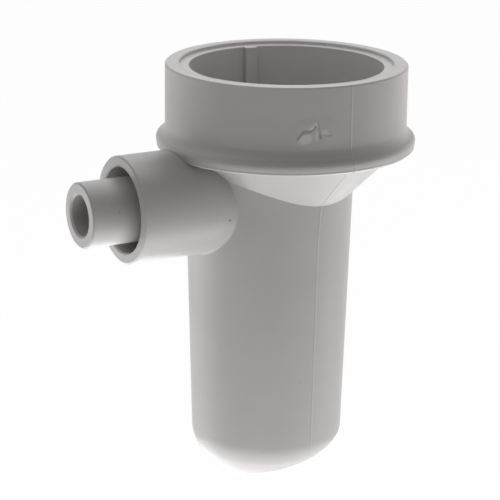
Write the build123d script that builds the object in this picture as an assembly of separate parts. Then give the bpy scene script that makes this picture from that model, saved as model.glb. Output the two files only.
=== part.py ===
from build123d import *
import os
from math import atan, atan2, cos, pi, sin, sqrt

# Condensate trap body: one hollow moulding in grey plastic, all sizes in millimetres.
# The frame's origin is the centre of the collar's mouth, at the rim, with +Z up.
# The outlet points along -X, and the cup hangs below, its axis a little towards the outlet.

# Collar: the open ring at the top
collar_radius = 25.0
rim_face_width = 2.8        # flat top of the rim, outside the rebate
rebate_depth = 0.65
collar_bore_radius = 20.1
rim_edge_bevel = 0.3

# Flange: the rounded bead at the foot of the collar
flange_reach = 1.85         # how far it stands out from the collar
flange_bottom = 17.5        # below the rim
flange_face_height = 2.6    # the nearly upright outer face
flange_top_fall = 0.6       # the top side slopes down by this much towards its edge
flange_face_taper = 0.2     # the face draws in by this much towards its foot
flange_neck_bevel = 0.9     # in the corner between collar and flange
flange_top_bevel = 0.7
flange_foot_bevel = 0.45

# Funnel: the skewed cone from the flange's underside down to the cup
funnel_top_radius = 23.4
funnel_foot_radius = 11.0
funnel_height = 10.25
funnel_skew = (-2.7, -5.2)  # how far the foot's centre stands off the collar's axis
funnel_wall = 4.2           # measured straight up, so 2.4 to 3.6 square to the surface

# Cup: the tapered well, with a domed end and a sloping flat across it
cup_offset = 3.7            # from the collar's axis, towards the outlet
cup_radius = 17.4           # outside, at the gauge depth
cup_gauge_depth = 25.0
cup_draft = 0.0286          # the radius lost for each millimetre further down
cup_wall = 2.4
dome_radius = 17.15
dome_depth = 90.55          # where the dome would reach with no flat on it
knee_round = 8.5            # the long soft round between the wall and the dome
flat_height = 7.15          # how high over the dome's lowest point the flat crosses the cup's own axis
flat_slope = 18.0           # degrees, rising away from the outlet
flat_edge_round = 1.4
cup_overlap = 10.0          # the cup is drawn this far up into the collar, so that the two join

# Outlet: a sleeve with a smaller tube inside it, both round the same axis
outlet_depth = 26.8
sleeve_reach = 34.2         # from the cup's axis to the sleeve's mouth
sleeve_radius = 11.0
sleeve_wall = 2.2
socket_depth = 13.0         # the blind ring-shaped gap between sleeve and tube
sleeve_root_round = 0.4
tube_reach = 43.4
tube_radius = 6.7
tube_bore_radius = 4.2
mouth_bevel = 0.3
bore_bevel = 0.4

# Rib: one small upright key on the wall of the collar's bore
rib_angle = 83.0            # degrees from +X towards +Y
rib_width = 2.65
rib_height = 1.2            # how far it stands off the wall
rib_edge_round = 0.3
rib_root = 1.0              # how far it runs into the wall that carries it

# How nearly level with the outlet's axis the middle of the sleeve's root edge is
root_match = 1.0

# Sizes that the driving sizes settle
flange_radius = collar_radius + flange_reach
shoulder_depth = flange_bottom - flange_face_height
neck_depth = shoulder_depth - flange_top_fall
cup_top = flange_bottom - cup_overlap
flat_depth = dome_depth - flat_height


def cup_radius_at(depth, inset):
    """Radius of the cup's wall at a depth, moved inwards by the inset."""
    return cup_radius - cup_draft * (depth - cup_gauge_depth) - inset / cos(atan(cup_draft))


def cup_form(top, inset):
    """The cup as a solid, or its hollow when inset by the wall's thickness, with sharp edges."""
    radius = dome_radius - inset
    centre = dome_depth - dome_radius
    # The wall's line and the dome's circle meet where a t^2 + b t + c = 0
    start = cup_radius_at(centre, inset)
    a = 1 + cup_draft**2
    b = -2 * cup_draft * start
    c = start**2 - radius**2
    corner = centre + (-b + sqrt(b**2 - 4 * a * c)) / (2 * a)
    corner_radius = cup_radius_at(corner, inset)
    pole = centre + radius
    dome_start = atan2(corner - centre, corner_radius)
    dome_middle = (dome_start + pi / 2) / 2
    with BuildPart() as cup:
        with BuildSketch(Plane.XZ):
            with BuildLine():
                Polyline((0, -pole), (0, -top), (cup_radius_at(top, inset), -top), (corner_radius, -corner))
                ThreePointArc(
                    (corner_radius, -corner),
                    (radius * cos(dome_middle), -centre - radius * sin(dome_middle)),
                    (0, -pole),
                )
            make_face()
            if inset == 0:
                fillet(vertices().sort_by_distance((corner_radius, -corner))[0], knee_round)
        revolve(axis=Axis.Z)
        flat = Plane((0, 0, -flat_depth)).rotated((0, -flat_slope, 0))
        split(bisect_by=flat.offset(inset), keep=Keep.TOP)
    return Pos(-cup_offset, 0, 0) * cup.part


def cup_outside():
    """The cup's outside, with the flat's edge rounded."""
    cup = cup_form(cup_top, 0)
    flat_face = cup.faces().filter_by(GeomType.PLANE).sort_by(Axis.Z)[0]
    return fillet(flat_face.edges(), flat_edge_round)


def funnel_form(lift):
    """The skewed cone between two level circles, raised by the lift."""
    top_z = lift - flange_bottom
    with BuildPart() as funnel:
        with BuildSketch(Plane.XY.offset(top_z)):
            Circle(funnel_top_radius)
        with BuildSketch(Plane.XY.offset(top_z - funnel_height)):
            with Locations(funnel_skew):
                Circle(funnel_foot_radius)
        loft(ruled=True)
    return funnel.part


def turned(plane, axis, corners, bevels):
    """Turn a closed profile about an axis, with the named corners bevelled."""
    with BuildPart() as body:
        with BuildSketch(plane):
            with BuildLine():
                Polyline(*corners, close=True)
            make_face()
            for place, length in bevels.items():
                chamfer(vertices().sort_by_distance(place)[0], length)
        revolve(axis=axis)
    return body.part


def collar_form():
    """The ring and its flange, with the bore still solid."""
    foot_radius = flange_radius - flange_face_taper
    corners = [
        (0, 0),
        (collar_radius, 0),
        (collar_radius, -neck_depth),
        (flange_radius, -shoulder_depth),
        (foot_radius, -flange_bottom),
        (0, -flange_bottom),
    ]
    bevels = {
        (collar_radius, 0): rim_edge_bevel,
        (collar_radius, -neck_depth): flange_neck_bevel,
        (flange_radius, -shoulder_depth): flange_top_bevel,
        (foot_radius, -flange_bottom): flange_foot_bevel,
    }
    return turned(Plane.XZ, Axis.Z, corners, bevels)


def turned_about_outlet(corners, bevels):
    """Turn a profile about the outlet's axis: x runs outwards from the cup's axis."""
    start = (-cup_offset, 0, -outlet_depth)
    outwards = (-1, 0, 0)
    return turned(Plane(start, x_dir=outwards, z_dir=(0, 1, 0)), Axis(start, outwards), corners, bevels)


def outlet_form():
    """Sleeve and tube as one turned shape, with the ring-shaped socket between them."""
    socket_floor = sleeve_reach - socket_depth
    socket_radius = sleeve_radius - sleeve_wall
    corners = [
        (0, 0),
        (0, sleeve_radius),
        (sleeve_reach, sleeve_radius),
        (sleeve_reach, socket_radius),
        (socket_floor, socket_radius),
        (socket_floor, tube_radius),
        (tube_reach, tube_radius),
        (tube_reach, 0),
    ]
    bevels = {
        (sleeve_reach, sleeve_radius): mouth_bevel,
        (sleeve_reach, socket_radius): mouth_bevel,
        (tube_reach, tube_radius): mouth_bevel,
    }
    return turned_about_outlet(corners, bevels)


def outlet_bore():
    """The way out of the cup, a little wider at the tube's mouth."""
    corners = [
        (0, 0),
        (0, tube_bore_radius),
        (tube_reach - bore_bevel, tube_bore_radius),
        (tube_reach, tube_bore_radius + bore_bevel),
        (tube_reach, 0),
    ]
    return turned_about_outlet(corners, {})


def body_outside():
    """Everything that can be touched from outside, with the inside still solid."""
    joined = cup_outside() + outlet_form()
    root = [edge for edge in joined.edges().filter_by(GeomType.BSPLINE) if is_sleeve_root(edge)]
    return fillet(root, sleeve_root_round) + funnel_form(0) + collar_form()


def is_sleeve_root(edge):
    """True for the curve where the sleeve leaves the cup's wall."""
    return abs(edge.center(CenterOf.BOUNDING_BOX).Z + outlet_depth) < root_match


def rib():
    """The upright key inside the collar, level with the rebate and sunk in the wall that carries it."""
    with BuildPart() as key:
        with BuildSketch(Plane.XY.offset(-rebate_depth)):
            with Locations((collar_bore_radius - rib_height, 0)):
                Rectangle(rib_height + rib_root, rib_width, align=(Align.MIN, Align.CENTER))
            fillet(vertices().sort_by(Axis.X)[:2], rib_edge_round)
        extrude(amount=-(flange_bottom - rebate_depth))
    return Rot(0, 0, rib_angle) * key.part


def trap_hollow():
    """The space that the water stands in: collar bore, funnel and cup in one."""
    bore_depth = flange_bottom - funnel_wall
    bore = bore_to(bore_depth)
    throat = funnel_form(funnel_wall) & bore_to(bore_depth + funnel_height)
    return bore + throat + cup_form(cup_top, cup_wall)


def bore_to(depth):
    """The collar's round bore, from the rim down to a depth."""
    return Cylinder(collar_bore_radius, depth, align=(Align.CENTER, Align.CENTER, Align.MAX))


def build_trap_body():
    """The finished moulding."""
    rebate = Cylinder(
        collar_radius - rim_face_width, rebate_depth, align=(Align.CENTER, Align.CENTER, Align.MAX)
    )
    return body_outside() - trap_hollow() - rebate - outlet_bore() + rib()


trap_body = build_trap_body()
os.makedirs("parts", exist_ok=True)
export_step(trap_body, "parts/trap_body.step")
print("trap_body", round(trap_body.volume / 1000, 2), "cm3", trap_body.bounding_box().size)
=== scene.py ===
"""Looks of the moulded condensate trap body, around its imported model, in metres."""

import math

import bpy
import numpy as np
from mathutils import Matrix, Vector


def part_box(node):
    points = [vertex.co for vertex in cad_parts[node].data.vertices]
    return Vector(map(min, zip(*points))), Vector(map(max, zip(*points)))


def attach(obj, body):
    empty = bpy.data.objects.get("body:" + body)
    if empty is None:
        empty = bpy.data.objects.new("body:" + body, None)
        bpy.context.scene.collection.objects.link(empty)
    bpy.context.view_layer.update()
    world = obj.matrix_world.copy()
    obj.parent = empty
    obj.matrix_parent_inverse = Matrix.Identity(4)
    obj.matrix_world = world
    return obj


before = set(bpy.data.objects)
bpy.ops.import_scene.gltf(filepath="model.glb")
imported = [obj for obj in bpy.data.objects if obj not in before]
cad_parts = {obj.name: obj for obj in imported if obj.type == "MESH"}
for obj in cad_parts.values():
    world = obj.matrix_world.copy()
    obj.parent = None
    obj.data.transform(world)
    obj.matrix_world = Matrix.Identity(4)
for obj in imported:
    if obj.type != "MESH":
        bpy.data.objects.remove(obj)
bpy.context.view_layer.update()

MM = 0.001
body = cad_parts["trap_body"]
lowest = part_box("trap_body")[0]

# The camera: its place, its turns about X, Y and Z in degrees, its lens and its sensor
camera_place = (-0.220739, -0.379185, 0.091694)
camera_turns = (73.2409, -0.6191, -29.0951)
camera_lens = 156.600
camera_sensor = 36
camera_nearest = 0.01


def place_camera():
    """Set the camera at the photograph's viewing angle."""
    data = bpy.data.cameras.new("camera")
    data.sensor_width = camera_sensor
    data.lens = camera_lens
    data.clip_start = camera_nearest
    camera = bpy.data.objects.new("camera", data)
    camera.location = camera_place
    camera.rotation_euler = [math.radians(turn) for turn in camera_turns]
    bpy.context.scene.collection.objects.link(camera)
    bpy.context.scene.camera = camera


class Wire:
    """A shader socket that can be reckoned with: an expression on it adds its Math nodes."""

    def __init__(self, shader, socket):
        self.shader = shader
        self.socket = socket

    def math(self, operation, *values):
        return self.shader.node("ShaderNodeMath", {"operation": operation}, values)["Value"]

    def __add__(self, other):
        return self.math("ADD", self, other)

    def __sub__(self, other):
        return self.math("SUBTRACT", self, other)

    def __rsub__(self, other):
        return self.math("SUBTRACT", other, self)

    def __mul__(self, other):
        return self.math("MULTIPLY", self, other)

    __radd__ = __add__
    __rmul__ = __mul__

    def fade(self, start, end):
        """0 below start and 1 above end, with a soft step between."""
        settings = {"interpolation_type": "SMOOTHSTEP"}
        values = {"Value": self, "From Min": start, "From Max": end}
        return self.shader.node("ShaderNodeMapRange", settings, values)["Result"]


class Shader:
    """The nodes of one material or world."""

    def __init__(self, owner):
        owner.use_nodes = True
        self.tree = owner.node_tree
        self.tree.nodes.clear()

    def node(self, kind, settings=None, sockets=()):
        """Add a node with its settings and the values or links of its sockets, and give its outputs."""
        made = self.tree.nodes.new(kind)
        for name, value in (settings or {}).items():
            setattr(made, name, value)
        pairs = sockets.items() if isinstance(sockets, dict) else enumerate(sockets)
        for key, value in pairs:
            if isinstance(value, Wire):
                self.tree.links.new(value.socket, made.inputs[key])
            else:
                made.inputs[key].default_value = value
        return {out.name: Wire(self, out) for out in made.outputs if out.enabled}

    def noise(self, place, values):
        """Noise over a place, from 0 to 1."""
        return self.node("ShaderNodeTexNoise", {}, {"Vector": place, **values})["Fac"]

    def tint(self, share, colour, other):
        """One colour with a share of another mixed in."""
        values = {"Factor": share, "A": colour, "B": other}
        return self.node("ShaderNodeMix", {"data_type": "RGBA"}, values)["Result"]

    def seen(self):
        """1 for rays that the camera sees, straight or in a gloss, and 0 for those that only carry light."""
        rays = self.node("ShaderNodeLightPath")
        return rays["Is Camera Ray"] + rays["Is Glossy Ray"]


# The plastic: its two close greys, the tone of its specks, the pale tone of torn skin, which is partly its
# whitening and partly painted light from below, and the dark tone of its cracks, which is painted shade
plastic_greys = ((0.452, 0.436, 0.427, 1), (0.468, 0.452, 0.443, 1))
speck_tone = (0.10, 0.075, 0.07, 1)
# The pale tone of torn skin is partly its whitening and partly painted light, as if lit from the table below
whitened_and_painted_light_tone = (0.66, 0.65, 0.65, 1)
crack_painted_shade = (0.10, 0.10, 0.095, 1)
whitening_and_painted_light_and_shade_strength = 0.5
cloud_noise = {"Scale": 90, "Detail": 3, "Roughness": 0.6}
cloud_span = (0.3, 0.7)
grain_noise = {"Scale": 5200, "Detail": 2}
grain_bump = {"Strength": 0.12, "Distance": 0.00004}
plastic_roughness = 0.36
cloud_roughness = 0.06
plastic_ior = 1.5
# Small marks in the plastic: place and radius in millimetres, and how strongly each one shows
specks = (
    ((-18.87, -10.85, -28.64), 0.30, 0.75),
    ((-41.36, -6.50, -25.19), 0.30, 0.25),
    ((18.71, -13.45, 0.00), 0.25, 0.60),
    ((-5.00, -16.24, -63.80), 0.35, 0.15),
)
# Each one fades out between these shares of its radius
speck_core = 0.4
speck_end = 1.3


def moulded_plastic(name, torn):
    """Satin grey plastic with faint clouding, fine grain and a few dark specks. The rougher spots are the
    paler ones: the roughness is its base plus a small share of the clouding. Torn plastic also takes a tone
    from an attribute on its points, which runs from 1, pale skin that is partly whitened and partly painted
    light from below, to -1, painted shade down in a crack."""
    material = bpy.data.materials.new(name)
    shader = Shader(material)
    place = shader.node("ShaderNodeTexCoord")["Object"]
    cloud = shader.noise(place, cloud_noise)
    grain = shader.noise(place, grain_noise)
    colour = shader.tint(cloud.fade(*cloud_span), *plastic_greys)
    for spot, radius, strength in specks:
        centre = [value * MM for value in spot]
        away = shader.node("ShaderNodeVectorMath", {"operation": "DISTANCE"}, [place, centre])["Value"]
        shown = (1 - away.fade(radius * speck_core * MM, radius * speck_end * MM)) * strength
        colour = shader.tint(shown, colour, speck_tone)
    if torn:
        # Torn skin: a pale tint, partly whitening and partly painted light, and a dark tint in the cracks,
        # which is painted shade
        tear = shader.node("ShaderNodeAttribute", {"attribute_name": "tear"})["Fac"]
        colour = shader.tint(tear.fade(0, 1) * whitening_and_painted_light_and_shade_strength, colour, whitened_and_painted_light_tone)
        colour = shader.tint((1 - tear.fade(-1, 0)) * whitening_and_painted_light_and_shade_strength, colour, crack_painted_shade)
    look = {
        "Base Color": colour,
        "Roughness": plastic_roughness + cloud * cloud_roughness,
        "IOR": plastic_ior,
        "Normal": shader.node("ShaderNodeBump", {}, {"Height": grain, **grain_bump})["Normal"],
    }
    surface = shader.node("ShaderNodeBsdfPrincipled", {}, look)["BSDF"]
    shader.node("ShaderNodeOutputMaterial", {}, {"Surface": surface})
    return material


white = (1, 1, 1, 1)
floor_grey = (0.86, 0.86, 0.86, 1)
floor_whiteness = 0.98
soft_light = 0.175
backdrop_light = 1.0


def pale_floor_material():
    """A plain white table: camera and glossy rays see it almost as white as the backdrop."""
    material = bpy.data.materials.new("pale_floor")
    shader = Shader(material)
    share = shader.seen() * floor_whiteness
    matt = shader.node("ShaderNodeBsdfDiffuse", {}, {"Color": floor_grey})["BSDF"]
    glow = shader.node("ShaderNodeEmission", {}, {"Color": white, "Strength": 1.0})["Emission"]
    mixed = shader.node("ShaderNodeMixShader", {}, [share, matt, glow])["Shader"]
    shader.node("ShaderNodeOutputMaterial", {}, {"Surface": mixed})
    return material


def white_world():
    """Even soft light all round, and a white backdrop for what the camera and reflections see."""
    world = bpy.data.worlds.new("studio")
    bpy.context.scene.world = world
    shader = Shader(world)
    share = shader.seen()
    lights = [
        shader.node("ShaderNodeBackground", {}, {"Color": white, "Strength": strength})["Background"]
        for strength in (soft_light, backdrop_light)
    ]
    mixed = shader.node("ShaderNodeMixShader", {}, [share, *lights])["Shader"]
    shader.node("ShaderNodeOutputWorld", {}, {"Surface": mixed})


lamp_aim = (0, 0, -0.04)
low_aim = (0, 0, -0.06)
lamp_distance = 0.6


def around(bearing, height):
    """A lamp's place on a ball round its aim. The bearing runs from +X towards +Y and the height is the
    angle over level, both in degrees. The height's sine is the share of the distance that goes up, and its
    cosine the share that goes sideways."""
    bearing, height = math.radians(bearing), math.radians(height)
    level = lamp_distance * math.cos(height)
    return (
        lamp_aim[0] + level * math.cos(bearing),
        lamp_aim[1] + level * math.sin(bearing),
        lamp_aim[2] + lamp_distance * math.sin(height),
    )


def softbox(name, place, aim, side, glow):
    """A square soft lamp that faces its aim. Its glow is how bright its face is, white being 1, so its power
    is the glow times pi times the side squared."""
    data = bpy.data.lights.new(name, "AREA")
    data.size = side
    data.energy = glow * math.pi * side**2
    lamp = bpy.data.objects.new(name, data)
    lamp.location = place
    lamp.rotation_euler = (Vector(place) - Vector(aim)).to_track_quat("Z", "Y").to_euler()
    lamp.visible_camera = False
    bpy.context.scene.collection.objects.link(lamp)


def new_piece(name, corners, faces):
    """A mesh object at the origin, from arrays of corners in metres and of faces."""
    mesh = bpy.data.meshes.new(name)
    mesh.from_pydata(np.asarray(corners).tolist(), [], [list(face) for face in faces])
    piece = bpy.data.objects.new(name, mesh)
    bpy.context.scene.collection.objects.link(piece)
    return piece


def dress(piece, material):
    """A finished piece of the body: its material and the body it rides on."""
    piece.data.materials.append(material)
    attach(piece, "root")


def run_of_faces(rows, count, closed):
    """The faces that join each section of corners to the next, and the last to the first if it is closed."""
    row, column = np.meshgrid(np.arange(rows if closed else rows - 1), np.arange(count), indexing="ij")
    after = (row + 1) % rows
    beside = (column + 1) % count
    faces = [row * count + column, after * count + column, after * count + beside, row * count + beside]
    return np.stack(faces, axis=-1).reshape(-1, 4)


def half_chord(at, centre, radius):
    """Half of a circle's width at a distance from its centre: the root of the radius squared less that
    distance squared, and 0 further out."""
    return np.sqrt(np.clip(radius**2 - (at - centre) ** 2, 0, None))


# The soft round from the flange's face over its lip into the collar's wall: radius and height over the rim
neck_outline = np.array([
    (26.72, -16.62),
    (26.80, -16.10),
    (26.86, -15.66),
    (26.80, -15.34),
    (26.64, -15.02),
    (26.42, -14.79),
    (26.18, -14.64),
    (25.98, -14.54),
    (25.70, -14.27),
    (25.43, -13.92),
    (25.24, -13.60),
    (25.12, -13.30),
    (25.05, -13.00),
    (25.00, -12.70),
    (24.95, -12.40),
])
# The body's outside from the rim down to the cup, in the same way. It leaves out the round's last corner,
# which is inside the wall.
shell_top = [(24.7, 0.0), (25.0, -0.3)]
shell_foot = [(26.69, -17.05), (26.24, -17.5), (23.4, -17.5), (11.0, -27.75)]
shell_outline = np.concatenate([shell_top, neck_outline[-2::-1], shell_foot])
# The circle at the funnel's foot has its centre here in x and y, the others have it on the collar's axis
funnel_skew = (-2.7, -5.2)
collar_radius = 25.0
flange_foot = 17.5

# The cup's outside: a taper from its radius at the gauge depth, then the knee's arc, then the dome's arc
cup_x = -3.7
cup_radius = 17.4
cup_gauge_depth = 25
cup_draft = 0.0286
knee_start = 78.14
knee_centre_radius = 7.38
knee_centre_depth = 77.9
knee_round = 8.5
dome_start = 82.32
dome_centre_depth = 73.4
dome_radius = 17.15

# The flat across the dome: its depth on the cup's axis, its slope, and how far its parting line runs
# either way
flat_depth = 83.4
flat_slope = math.tan(math.radians(18))
flat_half = 12.4

# The parting line: x at some depths, where it ends above the flat's rounded edge, the step along it, and its
# section across and out
parting_depths = (0, 17.5, 19.5, 26.5, 34)
parting_places = (0.4, 0.4, 0.95, -1.5, -1.93)
parting_end = 81.3
path_step = 0.25
ridge_section = np.array([(-0.36, -0.05), (-0.20, 0.01), (-0.02, 0.08), (0.15, 0.04), (0.40, -0.03)])


def cup_radii(depth):
    """The cup's radius at each depth: a straight taper, then the knee's arc, then the dome's arc."""
    wall = cup_radius - cup_draft * (depth - cup_gauge_depth)
    knee = knee_centre_radius + half_chord(depth, knee_centre_depth, knee_round)
    dome = half_chord(depth, dome_centre_depth, dome_radius)
    return np.where(depth < knee_start, wall, np.where(depth < dome_start, knee, dome))


def on_side(circles, side):
    """Where the parting line crosses each circle, given as depth, radius and the x and y of its centre:
    x goes by the depth, and y is the centre's y plus or minus half of the circle's width at that x."""
    x = np.interp(circles[:, 0], parting_depths, parting_places)
    return x, circles[:, 3] + side * half_chord(x, circles[:, 2], circles[:, 1])


def parting_path(side):
    """The parting line down one side, -1 the near and 1 the far one, and the level direction along the skin.

    Collar, flange and funnel give circles spaced evenly along the straight lines between their corners, and
    the cup gives circles at even depths. Under the flange, funnel or cup counts, whichever stands further
    out."""
    skew = np.zeros_like(shell_outline)
    skew[-1] = funnel_skew
    shell_corners = np.column_stack([-shell_outline[:, 1], shell_outline[:, 0], skew])
    steps = np.linalg.norm(np.diff(shell_outline, axis=0), axis=1)
    along = np.concatenate([[0], np.cumsum(steps)])
    at = np.arange(0, along[-1], path_step)
    shell = np.stack([np.interp(at, along, column) for column in shell_corners.T], axis=1)
    depth = np.arange(flange_foot, parting_end, path_step)
    cup = np.stack([depth, cup_radii(depth), np.full_like(depth, cup_x), np.zeros_like(depth)], axis=1)
    shell_x, shell_y = on_side(shell, side)
    cup_at_x, cup_y = on_side(cup, side)
    under = shell[:, 0] > flange_foot
    inner = under & (side * shell_y < side * np.interp(shell[:, 0], depth, cup_y))
    shell_again = np.interp(depth, shell[under, 0], shell_y[under], right=0)
    outer = side * cup_y > side * shell_again
    circles = np.concatenate([shell[~inner], cup[outer]])
    x = np.concatenate([shell_x[~inner], cup_at_x[outer]])
    y = np.concatenate([shell_y[~inner], cup_y[outer]])
    points = np.stack([x, y, -circles[:, 0]], axis=1)
    level = np.stack([circles[:, 3] - y, x - circles[:, 2], np.zeros_like(x)], axis=1)
    return points, level


def flat_path():
    """The parting line across the flat: straight along y, at the height the slope gives at its x."""
    y = np.arange(-flat_half, flat_half, path_step)
    x = np.full_like(y, parting_places[-1])
    points = np.stack([x, y, -flat_depth + flat_slope * (x - cup_x)], axis=1)
    level = np.stack([np.ones_like(y), np.zeros_like(y), np.full_like(y, flat_slope)], axis=1)
    return points, level


def ridge(name, points, level):
    """Carry the ridge's section along a path on the skin: each corner is the path's point, plus its first
    number times the direction across, plus its second times the outward normal. Across is the level
    direction less its part along the path, and the normal is the cross product of the path's direction and
    across."""
    along = np.gradient(points, axis=0)
    along /= np.linalg.norm(along, axis=1, keepdims=True)
    across = level - (level * along).sum(axis=1, keepdims=True) * along
    across /= np.linalg.norm(across, axis=1, keepdims=True)
    outward = np.cross(along, across)
    sections = (
        points[:, None]
        + ridge_section[None, :, :1] * across[:, None]
        + ridge_section[None, :, 1:] * outward[:, None]
    )
    corners = sections.reshape(-1, 3)
    count = len(ridge_section)
    last = len(corners) - 1
    caps = [range(count), range(last, last - count, -1)]
    dress(new_piece(name, corners * MM, [*run_of_faces(len(points), count, False), *caps]), plastic)


# Rings turned about the collar's axis: the corners of each section, as radius and height over the rim
lip_section = np.array([(22.85, -0.04), (22.50, 0.08), (22.32, 0.08), (22.10, -0.12), (22.30, -0.30)])
neck_core = [(24.80, -12.00), (24.80, -16.90), (26.60, -16.90)]
neck_section = np.concatenate([neck_core, neck_outline])
ring_turns = 240


def ring(name, section, smooth):
    """A section turned about the axis: each corner is at its radius times the cosine and sine of the turn.
    The faces that start at the corners from the given one on, the last aside, are shaded smooth."""
    turn = np.arange(ring_turns) * 2 * math.pi / ring_turns
    radius, height = section.T
    count = len(section)
    sections = [
        np.outer(np.cos(turn), radius),
        np.outer(np.sin(turn), radius),
        np.tile(height, (ring_turns, 1)),
    ]
    corners = np.stack(sections, axis=-1).reshape(-1, 3)
    piece = new_piece(name, corners * MM, run_of_faces(ring_turns, count, True))
    place = np.arange(count)
    curved = (place >= smooth) & (place < count - 1)
    piece.data.polygons.foreach_set("use_smooth", np.tile(curved, ring_turns))
    dress(piece, plastic)


# The torn gate mark on the collar's front, in millimetres along the wall from -Y towards +X, and up from the
# rim: its middle and half axes, the grid's step, the heights over the wall of its plateau and of its border,
# the width of the slope between them as a share of the half axes, its fall for each half axis outside the
# border, and the height of its back
tear_middle = (-7.3, -9.1)
tear_axes = (6.2, 3.7)
tear_step = 0.08
tear_lift = 0.08
tear_sink = -0.012
tear_margin = 0.45
tear_fall = 0.3
tear_back = -0.3
# Its longest crack, point by point
crack_points = (
    (-10.8, -10.15),
    (-10.2, -9.15),
    (-9.6, -8.6),
    (-9.1, -8.5),
    (-8.6, -8.75),
    (-8.2, -8.6),
    (-7.7, -8.1),
    (-7.3, -7.7),
)
# All its strokes: the points of each, its half width, its height, and its tone from -1 to 1: the dark tones
# are painted shade in cracks, the pale ones partly whitened skin and partly painted light
tear_strokes = (
    (((-8.1, -7.75), (-7.1, -6.95)), 0.4, 0.05, 0.7),
    (((-7.05, -8.9), (-7.0, -10.2)), 0.42, 0.05, 0.9),
    (((-5.75, -8.85), (-5.0, -8.8)), 0.5, 0.04, 0.8),
    (crack_points, 0.28, -0.06, -0.95),
    (((-8.2, -8.1), (-7.9, -7.95)), 0.24, 0.05, 0.9),
    (((-6.75, -6.8), (-6.5, -8.2), (-6.35, -9.2), (-6.25, -9.9)), 0.24, -0.04, -0.6),
    (((-6.25, -9.7), (-6.25, -10.0)), 0.36, -0.02, -0.9),
    (((-5.4, -9.5), (-4.7, -9.6), (-3.9, -9.55)), 0.24, -0.04, -0.5),
)
# Its flake: the middle, the half axes, their turn, and its height at the middle and for each millimetre up
flake_middle = (-9.25, -10.2)
flake_axes = (1.45, 1.0)
flake_turn = math.radians(28)
flake_height = 0.07
flake_tilt = 0.06


def stroke_shape(s, z, points, width):
    """1 along a line of points and 0 away from it: e to minus the square of the distance over the width."""
    nearest = np.full_like(s, np.inf)
    for (s0, z0), (s1, z1) in zip(points[:-1], points[1:]):
        length = (s1 - s0) ** 2 + (z1 - z0) ** 2
        share = np.clip(((s - s0) * (s1 - s0) + (z - z0) * (z1 - z0)) / length, 0, 1)
        nearest = np.minimum(nearest, np.hypot(s - s0 - share * (s1 - s0), z - z0 - share * (z1 - z0)))
    return np.exp(-((nearest / width) ** 2))


def flake_shape(s, z):
    """1 on the flake and 0 off it, and how far up along its turned axis each point is. The shape is 1 over 1
    plus the fourth power of the sum of the squares of the distances over the half axes."""
    across = (s - flake_middle[0]) * math.cos(flake_turn) + (z - flake_middle[1]) * math.sin(flake_turn)
    up = (z - flake_middle[1]) * math.cos(flake_turn) - (s - flake_middle[0]) * math.sin(flake_turn)
    return 1 / (1 + ((across / flake_axes[0]) ** 2 + (up / flake_axes[1]) ** 2) ** 4), up


def tear_surface(s, z):
    """The torn mark's height over the wall, and its tone: pale on the flake and the pale strokes, partly
    whitening and partly painted light, and dark in the cracks, which is painted shade.

    The height is a low plateau, plus the tilted flake, plus the strokes. The plateau's share is 0 at the
    border and 1 a margin further in, eased as 3 times its square less 2 times its cube, and outside the
    border the height falls away under the skin."""
    far = np.hypot((s - tear_middle[0]) / tear_axes[0], (z - tear_middle[1]) / tear_axes[1])
    share = np.clip((1 - far) / tear_margin, 0, 1)
    height = tear_sink + (tear_lift - tear_sink) * share**2 * (3 - 2 * share)
    height -= tear_fall * np.clip(far - 1, 0, None)
    flake, up = flake_shape(s, z)
    height += flake * (flake_height + flake_tilt * up)
    # The flake's pale tone is partly whitened skin and partly painted light, as if it faced the lit table
    # below
    tone = flake
    for points, width, rise, shade in tear_strokes:
        shape = stroke_shape(s, z, points, width)
        height += rise * shape
        tone = tone * (1 - shape) + shade * shape
    return height, tone


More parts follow.
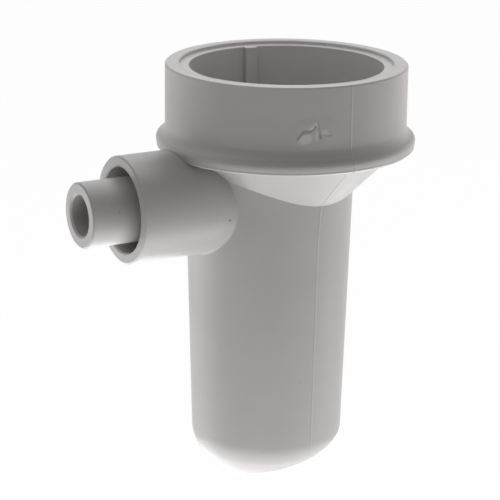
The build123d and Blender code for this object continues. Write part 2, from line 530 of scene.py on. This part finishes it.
def torn_gate():
    """The torn gate mark: a grid along the wall and up, and the same grid inside the wall as its back."""
    spans = zip(tear_middle, tear_axes)
    lines = [np.arange(middle - half, middle + half, tear_step) for middle, half in spans]
    s, z = np.meshgrid(*lines, indexing="ij")
    height, tone = tear_surface(s, z)
    angle = s / collar_radius - math.pi / 2
    sheets = []
    for radius in (collar_radius + height, np.full_like(height, collar_radius + tear_back)):
        sheet = np.stack([radius * np.cos(angle), radius * np.sin(angle), z], axis=-1)
        sheets.append(sheet.reshape(-1, 3))
    number = np.arange(s.size).reshape(s.shape)
    quads = [number[:-1, :-1], number[1:, :-1], number[1:, 1:], number[:-1, 1:]]
    front = np.stack(quads, axis=-1).reshape(-1, 4)
    rim = np.concatenate([number[:-1, 0], number[-1, :-1], number[:0:-1, -1], number[0, :0:-1]])
    after = np.roll(rim, -1)
    skirt = np.stack([after, rim, rim + s.size, after + s.size], axis=-1)
    faces = np.concatenate([front, front[:, ::-1] + s.size, skirt])
    piece = new_piece("gate_mark", np.concatenate(sheets) * MM, faces)
    # The tone goes to the points as an attribute: painted shade in the cracks and a pale tint, partly
    # painted light, on the flake and strokes; the back gets 0
    values = np.concatenate([tone.ravel(), np.zeros(s.size)]).astype(np.float32)
    piece.data.attributes.new("tear", "FLOAT", "POINT").data.foreach_set("value", values)
    piece.data.polygons.foreach_set("use_smooth", np.ones(len(faces), dtype=bool))
    dress(piece, moulded_plastic("torn_plastic_painted_light_and_shade", True))


place_camera()
plastic = moulded_plastic("moulded_plastic", False)
body.data.materials.clear()
body.data.materials.append(plastic)

ridge("parting_line_near", *parting_path(-1))
ridge("parting_line_far", *parting_path(1))
ridge("parting_line_flat", *flat_path())
ring("rim_lip", lip_section, len(lip_section))
ring("neck_round", neck_section, len(neck_core))
torn_gate()

floor_reach = 2.0
floor_drop = 0.10
floor_z = lowest.z - floor_drop
floor_corners = [
    (-floor_reach, -floor_reach, floor_z),
    (floor_reach, -floor_reach, floor_z),
    (floor_reach, floor_reach, floor_z),
    (-floor_reach, floor_reach, floor_z),
]
floor = new_piece("floor", floor_corners, [(0, 1, 2, 3)])
floor.data.materials.append(pale_floor_material())

# The lamps: name, place, aim, side and glow. One shines up from the table, and one into the collar's mouth.
table_gap = 0.001
lamps = (
    ("table_lamp", (0, 0, floor_z + table_gap), (0, 0, 1), 0.34, 2.1),
    ("left_box", around(150, 5), lamp_aim, 0.5, 0.12),
    ("left_back_box", around(110, 5), lamp_aim, 0.5, 0.2),
    ("low_left_box", (-0.19, 0.18, -0.13), low_aim, 0.26, 0.95),
    ("low_front_box", (0.04, -0.28, -0.15), low_aim, 0.16, 0.45),
    ("low_right_box", (0.22, -0.10, -0.15), low_aim, 0.16, 0.95),
    ("right_back_box", around(10, 5), lamp_aim, 0.5, 0.8),
    ("right_box", around(330, 5), lamp_aim, 0.5, 0.4),
    ("mouth_box", (0, 0, 0.035), (0, 0, 0), 0.03, 2.6),
    ("back_box", around(60, 50), lamp_aim, 0.5, 1.3),
    ("top_left_box", around(160, 60), lamp_aim, 0.5, 0.6),
)
white_world()
for lamp in lamps:
    softbox(*lamp)

bpy.context.scene.view_settings.view_transform = "Standard"
